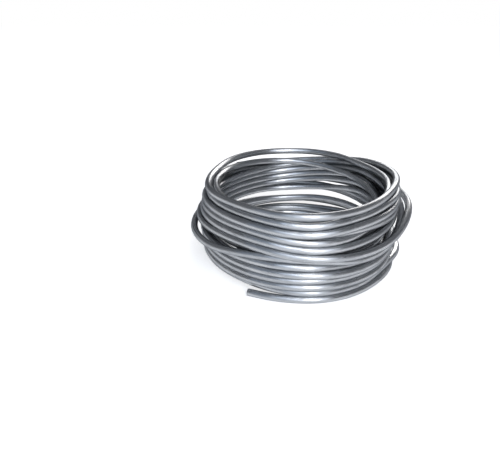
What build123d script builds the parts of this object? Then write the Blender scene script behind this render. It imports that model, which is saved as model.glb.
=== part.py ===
from build123d import *
from math import cos, radians, sin, sqrt, tan
import os

# A loose coil of heavy aluminium wire, lying flat as it came off the drum: one length from end to end.
# The origin is on the coil's axis, at the level of the floor. Millimetres, +Z up.

# Wire. Its round section is drawn with flats, with fewer of them where it lies loose
wire_diameter = 4.0
wire_sides = 8
loose_wire_sides = 6

# Wound wall, two turns thick, its inner turns nested half a step up from the outer ones
bore_radius = 50.5
outer_levels = 10
turn_gap = 0.33
belly = 1.4
foot_inset = 0.5

# Free end of the lowest turn, which leaves the foot and lies on the floor: azimuths, and wires out
free_end = ((-45, -0.35), (-88, 0.15), (-124.5, 0.5))

# Top turn. It climbs out of the wall on the right, lies level over the back, the left and the front, a little
# to the right of the wall's middle, and falls past its own start into the wall. Its start and end give the
# azimuth, how many wires out from the wall's top turn, and how many turns up from it
top_clearance = 3.98
top_shift = 2.4
top_inset = 0.6
top_from_azimuth = 95.0
top_to_azimuth = 358.0
top_start = (-20, -0.75, 0.4)
top_end = (76, -0.25, -0.2)

# Loose turn between the wall and the top turn at the front: three such places, with both its ends in the wall
upper_turn = ((-178, -0.25, -0.1), (-50, -0.15, 0.8), (52, -0.25, -0.15))

# Loose turns off the wall's side: three places each, with the turns counted up from the foot
end_depth = -0.5
side_turns = {
    "right, outer": ((72, end_depth, 7.2), (4, 2.55, 7.85), (-62, end_depth, 5.8)),
    "right, inner": ((66, end_depth, 6.6), (4, 1.12, 7.8), (-58, end_depth, 4.9)),
    "right, low": ((40, end_depth, 0.95), (3, 1.92, 0.88), (-38, end_depth, 0.92)),
    "left, outer": ((125, end_depth, 5.2), (-176, 1.4, 4.95), (-118, end_depth, 5.2)),
    "left, inner": ((108, end_depth, 5.9), (178, 0.52, 5.9), (-126, end_depth, 6.45)),
}

# Gap between two bundles of turns at the back, through which the floor shows
gap_azimuth = 62.0
gap_width = 76.0
gap_from_level = 3.53
gap_levels = 1.17

# Values that follow from the ones above
wire_radius = wire_diameter / 2
half_flat = wire_radius * tan(radians(180 / wire_sides))
level_pitch = wire_diameter + turn_gap
layer_step = sqrt(wire_diameter**2 - (level_pitch / 2) ** 2)
groove_depth = level_pitch / 2 - half_flat
inner_turn_radius = bore_radius + wire_radius
outer_turn_radius = inner_turn_radius + layer_step
foot_radius = outer_turn_radius - foot_inset
top_level = outer_levels - 1
wall_height = wire_diameter + top_level * level_pitch
nested_height = wall_height + level_pitch / 2
bore_end = wire_radius - half_flat
gap_height = gap_levels * level_pitch


def turn_height(level):
    """Height of the centre line of a turn of the outer layer, counted up from the foot."""
    return wire_radius + level * level_pitch


def turn_radius(level):
    """Radius of the centre line of the outer layer, which swells a little at mid height."""
    return outer_turn_radius + belly * sin(radians(180 * min(level / top_level, 1)))


def place(azimuth, wires_out, level):
    """A point by its azimuth, how many wires it lies past the outer layer and how many turns up."""
    distance = turn_radius(level) + wires_out * wire_diameter
    return Vector(distance * cos(radians(azimuth)), distance * sin(radians(azimuth)), turn_height(level))


def top_place(azimuth, wires_out, turns_up):
    """The same, with the turns counted up from the wall's top turn."""
    return place(azimuth, wires_out, top_level + turns_up)


def loose_section(path):
    """The loose wire's section, square to the start of its path, with a flat side up."""
    with BuildSketch(Plane(origin=path @ 0, x_dir=(0, 0, 1), z_dir=path % 0)) as section:
        RegularPolygon(wire_radius, loose_wire_sides, major_radius=False, rotation=180 / loose_wire_sides)
    return section.sketch


# Outline of the wound wall: each outer turn shows three flats of its wire, and the ends show both layers
turns = [(foot_radius, turn_height(0))]
turns += [(turn_radius(level), turn_height(level)) for level in range(1, outer_levels)]
faces = [(radius + wire_radius, height) for radius, height in turns]

outer_side = [(faces[0][0], faces[0][1] - half_flat), (faces[0][0], faces[0][1] + half_flat)]
for (face, height), (next_face, next_height) in zip(faces, faces[1:]):
    outer_side += [
        (min(face, next_face) - groove_depth, (height + next_height) / 2),
        (next_face, next_height - half_flat),
        (next_face, next_height + half_flat),
    ]

ends_and_bore = [
    (outer_turn_radius + half_flat, wall_height),
    (outer_turn_radius - half_flat, wall_height),
    (inner_turn_radius + half_flat, nested_height),
    (inner_turn_radius - half_flat, nested_height),
    (bore_radius, nested_height - bore_end),
    (bore_radius, level_pitch / 2 + bore_end),
    (foot_radius - half_flat, 0),
    (foot_radius + half_flat, 0),
]

with BuildPart() as wire_coil:
    with BuildSketch(Plane.XZ):
        with BuildLine():
            Polyline(*outer_side, *ends_and_bore, close=True)
        make_face()
    revolve(axis=Axis.Z)

    # The gap, level below and arched above, cut from the bore outwards
    outwards = Vector(cos(radians(gap_azimuth)), sin(radians(gap_azimuth)), 0)
    gap_foot = (0, 0, turn_height(gap_from_level))
    with BuildSketch(Plane(origin=gap_foot, x_dir=Vector(0, 0, 1).cross(outwards), z_dir=outwards)):
        with BuildLine():
            arch = ThreePointArc((-gap_width / 2, 0), (0, gap_height), (gap_width / 2, 0))
            Line(arch @ 1, arch @ 0)
        make_face()
    extrude(amount=outer_turn_radius + 2 * wire_diameter, mode=Mode.SUBTRACT)

    loose_places = [[place(*stop) for stop in turn] for turn in side_turns.values()]
    loose_places.append([top_place(*stop) for stop in upper_turn])
    loose_places.append([place(azimuth, wires_out, 0) for azimuth, wires_out in free_end])
    for start, middle, end in loose_places:
        with BuildLine(mode=Mode.PRIVATE) as loose_turn:
            ThreePointArc(start, middle, end)
        sweep(sections=loose_section(loose_turn.line), path=loose_turn.line)

    with BuildLine(mode=Mode.PRIVATE) as top_turn:
        ring = CenterArc(
            center=(top_shift, 0, wall_height + top_clearance + wire_radius),
            radius=outer_turn_radius - top_inset,
            start_angle=top_from_azimuth,
            arc_size=top_to_azimuth - top_from_azimuth,
        )
        TangentArc(ring @ 1, top_place(*top_end), tangent=ring % 1)
    sweep(sections=loose_section(top_turn.line), path=top_turn.line)

    with BuildLine(mode=Mode.PRIVATE) as climb:
        TangentArc(ring @ 0, top_place(*top_start), tangent=-(ring % 0))
    sweep(sections=loose_section(climb.line), path=climb.line)

wire_coil.part.label = "wire_coil"
os.makedirs("parts", exist_ok=True)
export_step(wire_coil.part, "parts/wire_coil.step")
print("wall", wall_height, "bore from", level_pitch / 2 + bore_end, "to", nested_height - bore_end)
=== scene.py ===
"""A loose coil of heavy aluminium wire on a pale floor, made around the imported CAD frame."""

from __future__ import annotations

import logging
import math
from collections.abc import Iterable
from dataclasses import dataclass

import bpy
import numpy as np
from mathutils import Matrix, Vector

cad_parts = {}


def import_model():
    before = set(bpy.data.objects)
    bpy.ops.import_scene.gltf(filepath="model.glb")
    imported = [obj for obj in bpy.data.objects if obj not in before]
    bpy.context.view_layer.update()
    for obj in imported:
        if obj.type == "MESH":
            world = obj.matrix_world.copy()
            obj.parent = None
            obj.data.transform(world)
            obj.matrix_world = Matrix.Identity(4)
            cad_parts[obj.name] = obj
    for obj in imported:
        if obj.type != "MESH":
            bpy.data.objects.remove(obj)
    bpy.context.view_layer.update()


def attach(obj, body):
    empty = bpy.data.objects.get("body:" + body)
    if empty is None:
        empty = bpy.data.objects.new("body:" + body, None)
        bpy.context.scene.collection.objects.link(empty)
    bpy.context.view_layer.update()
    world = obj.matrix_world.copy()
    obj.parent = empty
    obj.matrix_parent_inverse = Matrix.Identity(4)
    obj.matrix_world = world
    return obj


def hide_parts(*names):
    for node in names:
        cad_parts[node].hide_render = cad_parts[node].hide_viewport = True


LOG = logging.getLogger("wire_coil")
MM = 0.001

# The wire's own attributes, which its finish reads
PLACE = "place_on_wire"
WAY = "way_of_wire"

# Inputs and output of a Mix node that mixes colours, by number because its other kinds share their names
MIX_SHARE, MIX_FIRST, MIX_SECOND = 0, 6, 7
MIXED = 2


def linear(hex_colour: str) -> tuple[float, float, float, float]:
    """Turn an sRGB hex colour into the linear colour that a shader takes, by the sRGB standard's curve.

    Args:
        hex_colour: Six hex digits after a hash sign.

    Returns:
        Linear red, green and blue, and an alpha of 1.
    """
    channels = [int(hex_colour[i : i + 2], 16) / 255 for i in (1, 3, 5)]
    curve = [c / 12.92 if c <= 0.04045 else ((c + 0.055) / 1.055) ** 2.4 for c in channels]
    return (curve[0], curve[1], curve[2], 1.0)


def deselect_all() -> None:
    """Leave nothing selected, so that an operator acts only on what is added next."""
    for thing in list(bpy.context.selected_objects):
        thing.select_set(False)
    bpy.context.view_layer.objects.active = None


def choose(thing: bpy.types.Object) -> None:
    """Select one object alone and make it the active one.

    Args:
        thing: The object.
    """
    deselect_all()
    thing.select_set(True)
    bpy.context.view_layer.objects.active = thing


class Nodes:
    """The node tree of one material or world, with a short way to add a node and its links."""

    def __init__(self, owner: bpy.types.Material | bpy.types.World) -> None:
        """Empty the owner's node tree.

        Args:
            owner: The material or world that the nodes belong to.
        """
        owner.use_nodes = True
        self.tree = owner.node_tree
        self.tree.nodes.clear()

    def add(
        self, kind: str, inputs: dict[str | int, object] | None = None, **settings: object
    ) -> bpy.types.Node:
        """Add a node, set its properties, and fill or link its inputs.

        Args:
            kind: Blender's name for the kind of node.
            inputs: Input name or index to a value, or to the output socket that feeds it.
            **settings: Properties of the node itself.

        Returns:
            The new node.
        """
        node = self.tree.nodes.new(kind)
        for name, value in settings.items():
            setattr(node, name, value)
        for name, value in (inputs or {}).items():
            if isinstance(value, bpy.types.NodeSocket):
                self.tree.links.new(value, node.inputs[name])
            else:
                node.inputs[name].default_value = value
        return node


@dataclass(frozen=True)
class DrawnAluminium:
    """Bright soft aluminium wire, drawn cold through a die and left bare.

    The die leaves fine lines along the wire, so its gloss spreads round the section and breaks into silky
    streaks along each turn. Air leaves thin duller patches on the metal, and it is soft enough to take
    small matt rubs where the turns slide on one another.
    """

    # The clean metal, its duller patches and lines, and the metal seen at a grazing angle
    colour: str = "#BEC0C3"
    dull_colour: str = "#A8ABAF"
    edge_colour: str = "#7C7E82"

    # Roughness of the clean metal, and what the lines and the rubs add to it
    roughness: float = 0.24
    line_roughness: float = 0.1
    rub_roughness: float = 0.2

    # How far the gloss is drawn out, and the quarter turn that draws it out across the wire
    anisotropy: float = 0.8
    spread_turn: float = 0.25

    # Die lines. Real ones are under 0.1 mm wide, and these are drawn coarser, so that they show. Here and
    # below, a mark fades in between its levels of the noise, and its depth is the most that it dulls
    line_width: float = 0.45 * MM
    line_length: float = 45.0 * MM
    line_detail: float = 2.0
    line_depth: float = 0.7
    line_levels: tuple[float, float] = (0.42, 0.6)
    gloss_levels: tuple[float, float] = (0.3, 0.7)
    relief: float = 0.015 * MM
    relief_strength: float = 0.3

    # Patches that air has dulled, a few wires long
    patch_size: float = 14.0 * MM
    patch_detail: float = 3.0
    patch_depth: float = 0.7
    patch_levels: tuple[float, float] = (0.35, 0.7)

    # Rubs where the turns slide on one another
    rub_width: float = 1.6 * MM
    rub_length: float = 7.0 * MM
    rub_detail: float = 3.0
    rub_levels: tuple[float, float] = (0.58, 0.68)

    def material(self, name: str) -> bpy.types.Material:
        """Build the material. Lines and rubs follow the wire by its own attributes.

        Args:
            name: The material's name.

        Returns:
            The finished material.
        """
        material = bpy.data.materials.new(name)
        nodes = Nodes(material)
        place = nodes.add("ShaderNodeAttribute", attribute_name=PLACE).outputs["Vector"]
        way = nodes.add("ShaderNodeAttribute", attribute_name=WAY).outputs["Vector"]
        lines = self.marks_along(nodes, place, self.line_width, self.line_length, self.line_detail)
        rubs = self.marks_along(nodes, place, self.rub_width, self.rub_length, self.rub_detail)
        bump = nodes.add(
            "ShaderNodeBump", {"Height": lines, "Strength": self.relief_strength, "Distance": self.relief}
        )
        surface = nodes.add(
            "ShaderNodeBsdfPrincipled",
            {
                "Base Color": self.tone(nodes, lines),
                "Roughness": self.gloss(nodes, lines, rubs),
                "Metallic": 1.0,
                "Specular Tint": linear(self.edge_colour),
                "Anisotropic": self.anisotropy,
                "Anisotropic Rotation": self.spread_turn,
                "Normal": bump.outputs["Normal"],
                "Tangent": way,
            },
        )
        nodes.add("ShaderNodeOutputMaterial", {"Surface": surface.outputs["BSDF"]})
        return material

    def tone(self, nodes: Nodes, lines: bpy.types.NodeSocket) -> bpy.types.NodeSocket:
        """Dull the clean metal a little along its die lines, and in patches.

        Args:
            nodes: The material's nodes.
            lines: The strength of the die lines.

        Returns:
            The metal's colour.
        """
        place = nodes.add("ShaderNodeTexCoord")
        patches = nodes.add(
            "ShaderNodeTexNoise",
            {"Vector": place.outputs["Object"], "Scale": 1 / self.patch_size, "Detail": self.patch_detail},
        )
        dulled = nodes.add(
            "ShaderNodeMapRange",
            {
                "Value": patches.outputs["Fac"],
                "From Min": self.patch_levels[0],
                "From Max": self.patch_levels[1],
                "To Max": self.patch_depth,
            },
        )
        drawn = nodes.add(
            "ShaderNodeMapRange",
            {
                "Value": lines,
                "From Min": self.line_levels[0],
                "From Max": self.line_levels[1],
                "To Max": self.line_depth,
            },
        )
        both = nodes.add(
            "ShaderNodeMath", {0: dulled.outputs["Result"], 1: drawn.outputs["Result"]}, operation="ADD"
        )
        colour = nodes.add(
            "ShaderNodeMix",
            {
                MIX_SHARE: both.outputs[0],
                MIX_FIRST: linear(self.colour),
                MIX_SECOND: linear(self.dull_colour),
            },
            data_type="RGBA",
        )
        return colour.outputs[MIXED]

    def gloss(
        self, nodes: Nodes, lines: bpy.types.NodeSocket, rubs: bpy.types.NodeSocket
    ) -> bpy.types.NodeSocket:
        """Roughen the clean metal a little along its die lines, and more where it is rubbed.

        Args:
            nodes: The material's nodes.
            lines: The strength of the die lines.
            rubs: The strength of the rubs.

        Returns:
            The metal's roughness.
        """
        lined = nodes.add(
            "ShaderNodeMapRange",
            {
                "Value": lines,
                "From Min": self.gloss_levels[0],
                "From Max": self.gloss_levels[1],
                "To Min": self.roughness,
                "To Max": self.roughness + self.line_roughness,
            },
        )
        rubbed = nodes.add(
            "ShaderNodeMapRange",
            {"Value": rubs, "From Min": self.rub_levels[0], "From Max": self.rub_levels[1]},
            interpolation_type="SMOOTHSTEP",
        )
        rough = nodes.add(
            "ShaderNodeMath",
            {0: rubbed.outputs["Result"], 1: self.rub_roughness, 2: lined.outputs["Result"]},
            operation="MULTIPLY_ADD",
        )
        return rough.outputs[0]

    def marks_along(
        self, nodes: Nodes, vector: bpy.types.NodeSocket, width: float, length: float, detail: float
    ) -> bpy.types.NodeSocket:
        """Add marks that are drawn out along the wire.

        Args:
            nodes: The material's nodes.
            vector: The place on the wire: across it in X and Y, and along it in Z.
            width: Width of one mark, in metres.
            length: Length of one mark, in metres.
            detail: How many times finer marks are laid over them.

        Returns:
            The strength of the marks, from 0 to 1.
        """
        scale = (1 / width, 1 / width, 1 / length)
        drawn_out = nodes.add("ShaderNodeMapping", {"Vector": vector, "Scale": scale})
        marks = nodes.add(
            "ShaderNodeTexNoise", {"Vector": drawn_out.outputs["Vector"], "Scale": 1.0, "Detail": detail}
        )
        return marks.outputs["Fac"]


@dataclass(frozen=True)
class PaleCard:
    """Matt white card, pressed flat and uncoated, so it shows the coil's soft shadow and has no shine.

    It also glows to the eye and in reflections, so that the metal shows a white surround. The glow is
    weaker near the coil, where the lamps are brighter on the card.
    """

    colour: str = "#F2F2F2"
    near_glow: float = 0.52
    far_glow: float = 0.82

    # Distance from the coil's axis at which the glow starts to grow, and at which it is full
    glow_from: float = 0.12
    glow_to: float = 0.7

    def material(self, name: str) -> bpy.types.Material:
        """Build the material, a plain matt card with its glow added.

        Args:
            name: The material's name.

        Returns:
            The finished material.
        """
        material = bpy.data.materials.new(name)
        nodes = Nodes(material)
        ray = nodes.add("ShaderNodeLightPath")
        seen = nodes.add(
            "ShaderNodeMath",
            {0: ray.outputs["Is Camera Ray"], 1: ray.outputs["Is Glossy Ray"]},
            operation="MAXIMUM",
        )
        seen = nodes.add(
            "ShaderNodeMath",
            {0: seen.outputs[0], 1: ray.outputs["Is Transmission Ray"]},
            operation="MAXIMUM",
        )
        place = nodes.add("ShaderNodeTexCoord")
        away = nodes.add("ShaderNodeVectorMath", {0: place.outputs["Object"]}, operation="LENGTH")
        rise = nodes.add(
            "ShaderNodeMapRange",
            {
                "Value": away.outputs["Value"],
                "From Min": self.glow_from,
                "From Max": self.glow_to,
                "To Min": self.near_glow,
                "To Max": self.far_glow,
            },
            interpolation_type="SMOOTHSTEP",
        )
        glow = nodes.add(
            "ShaderNodeMath", {0: seen.outputs[0], 1: rise.outputs["Result"]}, operation="MULTIPLY"
        )
        matt = nodes.add("ShaderNodeBsdfDiffuse", {"Color": linear(self.colour)})
        light = nodes.add("ShaderNodeEmission", {"Color": linear("#FFFFFF"), "Strength": glow.outputs[0]})
        both = nodes.add("ShaderNodeAddShader", {0: matt.outputs[0], 1: light.outputs[0]})
        nodes.add("ShaderNodeOutputMaterial", {"Surface": both.outputs[0]})
        return material


@dataclass(frozen=True)
class Turn:
    """One turn of the wire, from the coil's left side round the front, right and back to the left again.

    Its few places are listed one by one, to follow the turns that the photograph shows.

    Attributes:
        places: Azimuth in degrees, then millimetres outside the plain turns' radius and above the floor.
    """

    places: tuple[tuple[float, float, float], ...]


OUTER_TURNS = (
    # The free end on the floor, then the foot of the wall
    Turn(((-121.3, 1.3, 2), (-112, 0.4, 2), (-103, -0.1, 2), (-90, -0.2, 2), (-75, 0.1, 2), (-60, 0.2, 2),
          (-45, 0.3, 2), (-30, 1.5, 2), (-18, 2.2, 2), (-5, 1.8, 2), (12, 0.5, 2), (45, 0, 2), (90, 0, 2),
          (180, -1, 4))),
    # Slack low down on the right
    Turn(((-150, -2.6, 5.4), (-132, -3, 6.2), (-112, -2, 6.3), (-90, -0.5, 6), (-60, -0.5, 6.3),
          (-35, -0.9, 6), (-23, 1.5, 6), (-13, 5.3, 5.9), (2, 8, 5.8), (20, 6, 6), (45, 1.5, 5.8),
          (90, 0, 5.7), (180, -0.5, 8))),
    # Sinks to the floor at the back
    Turn(((-90, 0, 10.2), (-45, 0, 9.9), (0, 0.5, 9.8), (30, 2.2, 6.5), (55, 3.7, 3.2), (90, 4, 2.4),
          (125, 3, 5), (180, 0, 12))),
    Turn(((-90, 0.3, 14), (-45, 0, 13.4), (0, 0.5, 13.2), (40, 2.6, 12), (90, 3.3, 11.2), (140, 2.2, 13),
          (180, 0.5, 16))),
    Turn(((-90, 0.4, 17.9), (-45, 0.3, 16.8), (0, 0.5, 17), (30, 2.2, 20), (55, 3.2, 22), (90, 3.5, 20.6),
          (140, 2.4, 20.6), (180, 1, 20))),
    # Slack at half height on the left
    Turn(((-90, 0.3, 21.9), (-45, 0.2, 20.4), (0, 0.5, 21.5), (45, 0, 24.5), (90, 0, 25.2),
          (155, 3.8, 24), (180, 6, 23.5), (198, 7, 23.2), (212, 6, 23))),
    # Two slack loops high up on the right, the second one further out
    Turn(((-120, 0.5, 25.3), (-90, -2.6, 24.6), (-60, 2, 23), (-45, 3, 24), (-30, 3.5, 27), (-5, 5, 34.5),
          (10, 4.5, 37), (45, 3.5, 31), (90, 3, 27.3), (180, 3.2, 27.5))),
    Turn(((-120, 0, 31), (-90, 0, 27.9), (-60, 2.7, 27), (-45, 4.6, 28.3), (-30, 5.8, 30.5),
          (-15, 8, 33.5), (0, 10.2, 35.5), (15, 8.8, 37), (45, 4.5, 34.5), (90, 3, 31.5),
          (180, 0.5, 32))),
    # Back to the wall, and up to its top
    Turn(((-120, 0.3, 35), (-90, 0, 31.9), (-60, 0, 33.8), (-40, 0, 34), (0, 0, 34), (55, 0, 30.8),
          (90, 0, 29.4), (180, -0.5, 36))),
    Turn(((-120, 0, 38.5), (-90, 0, 35.4), (-70, -0.8, 35.8), (-55, -3.2, 36.4), (-30, -4, 37),
          (0, -4, 37), (26, -0.3, 35.8), (90, 0, 33.6), (180, -1, 40))),
    Turn(((-120, 0, 42), (-90, 0, 39.9), (-60, -1.6, 41), (-40, -1, 41.5), (0, 0, 41.8), (90, 3, 36),
          (150, -2, 42.6), (180, -3.7, 43.7))),
    Turn(((-130, -2.2, 45.6), (-105, -0.3, 44.8), (-90, 0, 43.9), (-72, -0.8, 45), (-55, -2, 45.2),
          (-38, -2.2, 45.6), (-20, -0.2, 45.3), (0, 0.8, 45.6), (20, 2.8, 45.1), (36, 2.4, 44),
          (60, 0.6, 40.8), (90, 0, 37), (140, -3, 39.6), (180, -7, 41.2))),
)

INNER_TURNS = (
    # Down again inside the outer turns, from their top
    Turn(((-90, -4, 41.3), (-20, -4, 42.3), (0, -3, 43.6), (26, -0.8, 46.6), (45, -2.4, 46),
          (62, -3.6, 43.8), (90, -4, 40), (180, -4, 37.6))),
    Turn(((-90, -3.4, 37.6), (-70, -1.9, 38), (-50, -0.9, 38.2), (-30, 0, 38), (0, -0.4, 38.8),
          (28, -4, 43.6), (45, -4, 42.2), (62, -4, 39.8), (90, -4, 36.1), (180, -4, 33.8))),
    Turn(((-90, -4, 33.1), (-20, -4, 33.6), (0, -4.6, 35), (28, -4, 39.6), (45, -4, 38.2), (62, -4, 35.9),
          (90, -4, 32.2), (180, -4, 29.8))),
    Turn(((-90, -4, 29), (0, -4, 31.4), (28, -4, 35.4), (45, -4, 33.9), (62, -4, 31.8), (75, -4, 29.9),
          (90, -4, 28.2), (180, -4, 26))),
    Turn(((-90, -4, 25), (0, -4, 27.4), (28, -4, 30.2), (45, -4, 27.8), (65, -4, 24.6), (90, -4, 22.4),
          (120, -4, 22.3), (180, -4, 21))),
    # Below the wide gap at the back
    Turn(((-90, -4, 18), (0, -4, 16.5), (45, -4, 17), (62, -4, 16.4), (90, -4, 14.3), (120, -4, 14),
          (180, -4, 15))),
    # Leans outwards at the back, below a narrower gap
    Turn(((-90, -4, 13.8), (0, -3.4, 12.5), (40, -1.2, 14.4), (62, -0.6, 14), (90, -0.6, 12),
          (125, -2, 11.4), (180, -4, 11))),
    # The last two turns inside, down to the floor
    Turn(((-90, -4, 9.8), (0, -4, 7), (90, -4, 6.1), (180, -4, 7))),
    Turn(((-150, -6.6, 6), (-120, -6.8, 5.4), (-90, -6, 5), (-45, -4.2, 4), (0, -4, 3), (90, -4, 2),
          (180, -7, 10))),
)

TOP_TURNS = (
    # Slack turn that climbs once round inside, a little way into the bore
    Turn(((-135, -8, 17), (-90, -8, 25), (-45, -8, 30.5), (-20, -8, 34.3), (5, -8, 37.2),
          (17, -7.9, 38.3), (28, -7.8, 39), (45, -7.6, 40.2), (62, -7, 41.5), (90, -5.8, 42.9),
          (120, -6, 44.4), (150, -6.6, 45.6), (180, -6.8, 46.2))),
    # Inner strand of the rim, which rises on the right and lies along the back
    Turn(((-135, -5.5, 45.6), (-90, -4.6, 45.3), (-45, -6, 45.5), (-15, -4.2, 46.2), (0, -3.2, 46.9),
          (18, -3.9, 47.3), (35, -5.3, 48.2), (52, -3, 48.8), (70, -1.2, 49), (95, -1, 49),
          (108, -0.6, 49), (130, -2, 49.2), (163, -5.1, 49))),
    # Top turn, which lies round the left, the front and the right, and falls at the back to its end
    Turn(((-178, -3.8, 48.8), (-157, -1.6, 49), (-133, -2, 49.1), (-95, -0.5, 49), (-69, -1.6, 49.2),
          (-50, -2.8, 49.4), (-38, -3.3, 49.5), (-25, -2.7, 49.6), (-12, -0.8, 49.7), (0, 1.3, 49.7),
          (20, 2.2, 49.3), (35, 2.2, 48.4), (50, 1, 46.2), (65, 0.5, 43.9), (80, 0.2, 42), (95, 0, 40.8),
          (140, -1.5, 41.6))),
)


@dataclass
class WireCoil:
    """The one length of wire, wound loosely from its free end on the floor to its other end at the back.

    The outer turns climb the coil and the inner ones go down inside them. The last three climb out of the
    bore again and lie round the rim, down to the wire's other end, out of the photograph's sight.

    Attributes:
        diameter: Thickness of the wire, in millimetres.
        radius: Radius of a plain outer turn's centre line, in millimetres.
        sides: Flat sides of the wire's round section.
        stations: Points of the route in each turn.
        steps: Rings of the mesh from one station to the next.
        settle_rounds: How often the turns are pushed apart.
        push_share: Share of their overlap that a turn gives way by in one round.
        pull_share: Share of the way back to its own place that a turn takes in one round.
        spread: Stations on each side to which one push spreads.
        spread_width: How gently that spread falls off, in stations.
        end_rim: Width of the rim that is taken off each cut end, in millimetres.
        rim_steps: Faces across that rim.
        smooth_angle: Angle between faces, in degrees, past which an edge stays sharp.
        turns: The turns in order, from the free end.
    """

    diameter: float = 4.0
    radius: float = 56.0
    sides: int = 20
    stations: int = 48
    steps: int = 2
    settle_rounds: int = 400
    push_share: float = 0.45
    pull_share: float = 0.01
    spread: int = 6
    spread_width: float = 2.5
    end_rim: float = 0.3
    rim_steps: int = 2
    smooth_angle: float = 40.0
    turns: tuple[Turn, ...] = OUTER_TURNS + INNER_TURNS + TOP_TURNS

    def lay_out(self) -> tuple[np.ndarray, np.ndarray, np.ndarray]:
        """Lay out the wire through its turns' places, before it settles.

        Returns:
            Azimuth in radians, radius and height, in millimetres, at each station along the wire.
        """
        places = np.array(
            [
                (360 * k + azimuth, out, up)
                for k, turn in enumerate(self.turns)
                for azimuth, out, up in turn.places
            ]
        )
        degrees = np.arange(places[0, 0], places[-1, 0], 360 / self.stations)
        slope = np.gradient(places[:, 1:], places[:, 0], axis=0, edge_order=1)
        left = np.clip(np.searchsorted(places[:, 0], degrees, side="right") - 1, 0, len(places) - 2)
        span = (places[left + 1, 0] - places[left, 0])[:, None]
        t = ((degrees - places[left, 0])[:, None]) / span

        # A cubic curve from each place to the next, with the slope kept at both. t is the share of the way
        route = (
            (1 + 2 * t) * (1 - t) ** 2 * places[left, 1:]
            + t * (1 - t) ** 2 * span * slope[left]
            + t**2 * (3 - 2 * t) * places[left + 1, 1:]
            + t**2 * (t - 1) * span * slope[left + 1]
        )
        return np.radians(degrees), self.radius + route[:, 0], route[:, 1]

    def settle(self, radius: np.ndarray, height: np.ndarray) -> tuple[np.ndarray, np.ndarray]:
        """Push turns apart where they would lie in each other, and keep them smooth and off the floor.

        Args:
            radius: Radius at each station, in millimetres.
            height: Height at each station, in millimetres.

        Returns:
            The settled radius and height.
        """
        # One row for each turn, so that the stations of a column lie at one azimuth
        count = len(radius)
        rows = math.ceil(count / self.stations)
        wanted = np.full((rows * self.stations, 2), np.nan)
        wanted[:count, 0], wanted[:count, 1] = radius, height
        place = wanted.copy()

        reach = np.arange(-self.spread, self.spread + 1)
        share = np.exp(-0.5 * (reach / self.spread_width) ** 2)
        share /= share.sum()
        same = np.eye(rows, dtype=bool)[:, :, None]
        least = 0.01  # keeps a turn's distance to itself from dividing by nought
        for _ in range(self.settle_rounds):
            grid = place.reshape(rows, self.stations, 2)
            apart = grid[:, None] - grid[None, :]
            distance = np.sqrt((apart**2).sum(-1))
            overlap = np.where(same | np.isnan(distance), 0.0, np.maximum(self.diameter - distance, 0.0))
            way = np.nan_to_num(apart / np.maximum(distance, least)[..., None])
            push = (way * overlap[..., None]).sum(1).reshape(-1, 2)[:count] * self.push_share
            for axis in (0, 1):
                ends_held = np.pad(push[:, axis], self.spread, mode="edge")
                push[:, axis] = np.convolve(ends_held, share, mode="valid")
            place[:count] += push + self.pull_share * (wanted[:count] - place[:count])
            place[:count, 1] = np.maximum(place[:count, 1], self.diameter / 2)
        return place[:count, 0], place[:count, 1]

    def sweep(self, azimuth: np.ndarray, radius: np.ndarray, height: np.ndarray) -> bpy.types.Object:
        """Draw the wire along its settled route.

        Args:
            azimuth: Azimuth at each station, in radians.
            radius: Radius at each station, in millimetres.
            height: Height at each station, in millimetres.

        Returns:
            The wire as a mesh.
        """
        # The curve runs inside its points, at this share of their radius, so they are moved out by it
        corner_cut = 1 - (math.pi / self.stations) ** 2 / 2
        out = radius * MM / corner_cut
        points = np.stack([out * np.cos(azimuth), out * np.sin(azimuth), height * MM, np.ones_like(out)], 1)
        curve = bpy.data.curves.new("wire", "CURVE")
        curve.dimensions = "3D"
        spline = curve.splines.new("NURBS")
        spline.points.add(len(points) - 1)
        spline.points.foreach_set("co", points.ravel())
        spline.order_u = 3
        spline.use_endpoint_u = True
        spline.resolution_u = self.steps
        curve.bevel_depth = self.diameter / 2 * MM
        curve.bevel_resolution = (self.sides - 4) // 2  # 4 sides at nought, and 2 more for each step
        wire = bpy.data.objects.new("wire", curve)
        bpy.context.collection.objects.link(wire)
        choose(wire)
        bpy.ops.object.convert(target="MESH")
        wire = bpy.context.view_layer.objects.active
        bpy.ops.object.shade_smooth_by_angle(angle=math.radians(self.smooth_angle))
        return wire

    def measure(self, wire: bpy.types.Object) -> float:
        """Write each vertex's place on the wire, across and along it, and the wire's way, for the finish.

        Args:
            wire: The wire's mesh, ring after ring.

        Returns:
            The wire's length in metres.
        """
        points = np.empty(len(wire.data.vertices) * 3)
        wire.data.vertices.foreach_get("co", points)
        rings = points.reshape(-1, self.sides, 3)
        centres = rings.mean(1)
        along = np.concatenate([[0], np.cumsum(np.linalg.norm(np.diff(centres, axis=0), axis=1))])
        around = np.arange(self.sides) * 2 * math.pi / self.sides
        place = np.empty_like(rings)
        place[..., 0] = self.diameter / 2 * MM * np.cos(around)
        place[..., 1] = self.diameter / 2 * MM * np.sin(around)
        place[..., 2] = along[:, None]
        way = np.repeat(np.gradient(centres, axis=0), self.sides, axis=0)
        for name, values in ((PLACE, place), (WAY, way / np.linalg.norm(way, axis=1)[:, None])):
            attribute = wire.data.attributes.new(name, "FLOAT_VECTOR", "POINT")
            attribute.data.foreach_set("vector", values.ravel())
        return float(along[-1])

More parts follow.
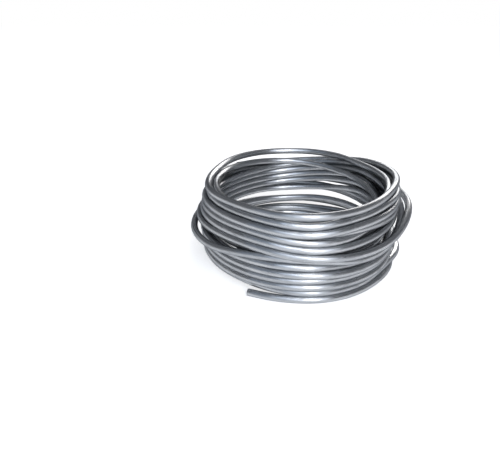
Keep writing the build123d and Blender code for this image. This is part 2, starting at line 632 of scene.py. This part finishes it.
    def close_ends(self, wire: bpy.types.Object) -> None:
        """Close both cut ends with a flat face, and take off its sharp rim.

        Args:
            wire: The wire's mesh, open at both ends.
        """
        choose(wire)
        bpy.ops.object.mode_set(mode="EDIT")
        bpy.ops.mesh.select_mode(type="EDGE")
        bpy.ops.mesh.select_all(action="SELECT")
        bpy.ops.mesh.fill_holes(sides=self.sides)
        bpy.ops.mesh.select_mode(type="FACE")
        bpy.ops.mesh.select_face_by_sides(number=self.sides, type="EQUAL", extend=False)
        bpy.ops.mesh.region_to_loop()
        bpy.ops.mesh.bevel(offset=self.end_rim * MM, segments=self.rim_steps, affect="EDGES")
        bpy.ops.object.mode_set(mode="OBJECT")

    def build(self, finish: DrawnAluminium) -> bpy.types.Object:
        """Wind, settle and dress the wire.

        Args:
            finish: The wire's finish.

        Returns:
            The finished piece.
        """
        azimuth, radius, height = self.lay_out()
        radius, height = self.settle(radius, height)
        wire = self.sweep(azimuth, radius, height)
        LOG.info("wire: %.2f m in %.1f turns", self.measure(wire), np.ptp(azimuth) / (2 * math.pi))
        self.close_ends(wire)
        wire.data.materials.clear()
        wire.data.materials.append(finish.material("drawn_aluminium"))
        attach(wire, "root")
        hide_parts("wire_coil")
        return wire


@dataclass(frozen=True)
class Softbox:
    """One soft lamp that faces the coil.

    Attributes:
        name: The lamp's name.
        azimuth: Its direction round the coil, in degrees. The camera's side is at -90.
        elevation: Its height above the horizon, in degrees.
        width: Width of its face, in metres.
        height: Height of its face, in metres.
        brightness: How bright its face is, where 1 is white.
        colour: Its colour.
    """

    name: str
    azimuth: float
    elevation: float
    width: float
    height: float
    brightness: float
    colour: str = "#FFFFFF"

    def hang(self, distance: float) -> None:
        """Hang the lamp, turned to the coil.

        Args:
            distance: Metres from the middle of the coil's foot to the lamp.
        """
        data = bpy.data.lights.new(self.name, "AREA")
        data.shape = "RECTANGLE"
        data.size, data.size_y = self.width, self.height
        data.energy = self.brightness * math.pi * self.width * self.height
        data.color = linear(self.colour)[:3]
        lamp = bpy.data.objects.new(self.name, data)
        turn, rise = math.radians(self.azimuth), math.radians(self.elevation)
        way = Vector((math.cos(turn) * math.cos(rise), math.sin(turn) * math.cos(rise), math.sin(rise)))
        lamp.location = way * distance
        lamp.rotation_mode = "QUATERNION"
        lamp.rotation_quaternion = (-way).to_track_quat("-Z", "Y")
        bpy.context.collection.objects.link(lamp)


@dataclass
class Studio:
    """The pale floor, the soft lamps and the camera, none of them part of the coil.

    Attributes:
        camera_place: Where the photograph was taken from, in metres.
        camera_pitch: How far the camera looks down, in degrees.
        focal_length: The lens, in millimetres, on a sensor of sensor_width.
        sensor_width: Width of the sensor, in millimetres.
        nearest: Distance from which the camera sees, in metres.
        floor_size: Side of the floor, in metres.
        room_colour: The room's grey above its white backdrop.
        backdrop_top: Rise past which the white backdrop fades to grey, where 1 is straight up.
        room_from: Rise past which the room is all grey.
        lamp_distance: How far the lamps hang from the coil, in metres.
        lamps: The lamps. The front strip draws the bright band down the front, and the back softbox lights
            the rim.
    """

    camera_place: tuple[float, float, float] = (-0.02856, -0.224, 0.1305)
    camera_pitch: float = 26.8
    focal_length: float = 28.8
    sensor_width: float = 36.0
    nearest: float = 0.01
    floor_size: float = 40.0
    room_colour: str = "#7A7C80"
    backdrop_top: float = 0.04
    room_from: float = 0.2
    lamp_distance: float = 1.2
    lamps: tuple[Softbox, ...] = (
        Softbox("back_softbox", 67, 24, 0.78, 0.42, 6.0, "#FFFAF4"),
        Softbox("front_strip", -76, 36, 0.28, 1.4, 3.8),
        Softbox("front_softbox", -77, 38, 0.8, 1.2, 1.6, "#EEF4FF"),
        Softbox("left_strip", -102, 38, 0.4, 1.1, 1.1, "#DCE8F8"),
        Softbox("left_softbox", -130, 38, 0.8, 1.1, 0.3, "#B4CCEA"),
    )

    def floor(self) -> None:
        """Lay the pale floor, which takes the coil's soft shadow."""
        deselect_all()
        bpy.ops.mesh.primitive_plane_add(size=self.floor_size, location=(0, 0, 0))
        floor = bpy.context.active_object
        floor.name = "floor"
        floor.data.materials.append(PaleCard().material("pale_floor"))

    def room(self) -> None:
        """Light the room plainly: white low down, as a backdrop is, and grey above but for the eye."""
        world = bpy.data.worlds.new("room")
        nodes = Nodes(world)
        way = nodes.add("ShaderNodeTexCoord")
        rise = nodes.add("ShaderNodeSeparateXYZ", {0: way.outputs["Generated"]})
        above = nodes.add(
            "ShaderNodeMapRange",
            {"Value": rise.outputs["Z"], "From Min": self.backdrop_top, "From Max": self.room_from},
            interpolation_type="SMOOTHSTEP",
        )
        ray = nodes.add("ShaderNodeLightPath")
        unseen = nodes.add(
            "ShaderNodeMath", {0: 1.0, 1: ray.outputs["Is Camera Ray"]}, operation="SUBTRACT"
        )
        grey = nodes.add(
            "ShaderNodeMath", {0: above.outputs["Result"], 1: unseen.outputs[0]}, operation="MULTIPLY"
        )
        colour = nodes.add(
            "ShaderNodeMix",
            {MIX_SHARE: grey.outputs[0], MIX_FIRST: linear("#FFFFFF"), MIX_SECOND: linear(self.room_colour)},
            data_type="RGBA",
        )
        light = nodes.add("ShaderNodeBackground", {"Color": colour.outputs[MIXED], "Strength": 1.0})
        nodes.add("ShaderNodeOutputWorld", {"Surface": light.outputs[0]})
        bpy.context.scene.world = world

    def camera(self) -> None:
        """Set the camera where the photograph was taken from."""
        data = bpy.data.cameras.new("camera")
        data.lens = self.focal_length
        data.sensor_width = self.sensor_width
        data.clip_start = self.nearest
        camera = bpy.data.objects.new("camera", data)
        camera.location = self.camera_place
        camera.rotation_euler = (math.radians(90 - self.camera_pitch), 0, 0)
        bpy.context.collection.objects.link(camera)
        bpy.context.scene.camera = camera

    def build(self) -> None:
        """Set up the whole studio."""
        self.floor()
        self.room()
        for lamp in self.lamps:
            lamp.hang(self.lamp_distance)
        self.camera()
        bpy.context.scene.view_settings.view_transform = "Standard"


def main() -> None:
    """Load the frame, build the coil and its studio, and log the wire's faces and the lamps."""
    logging.basicConfig(level=logging.INFO, format="%(message)s")
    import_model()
    wire = WireCoil().build(DrawnAluminium())
    LOG.info("%s: %d faces", wire.name, len(wire.data.polygons))
    studio = Studio()
    studio.build()
    LOG.info("studio: floor, %d lamps and camera", len(studio.lamps))


if __name__ == "__main__":
    main()
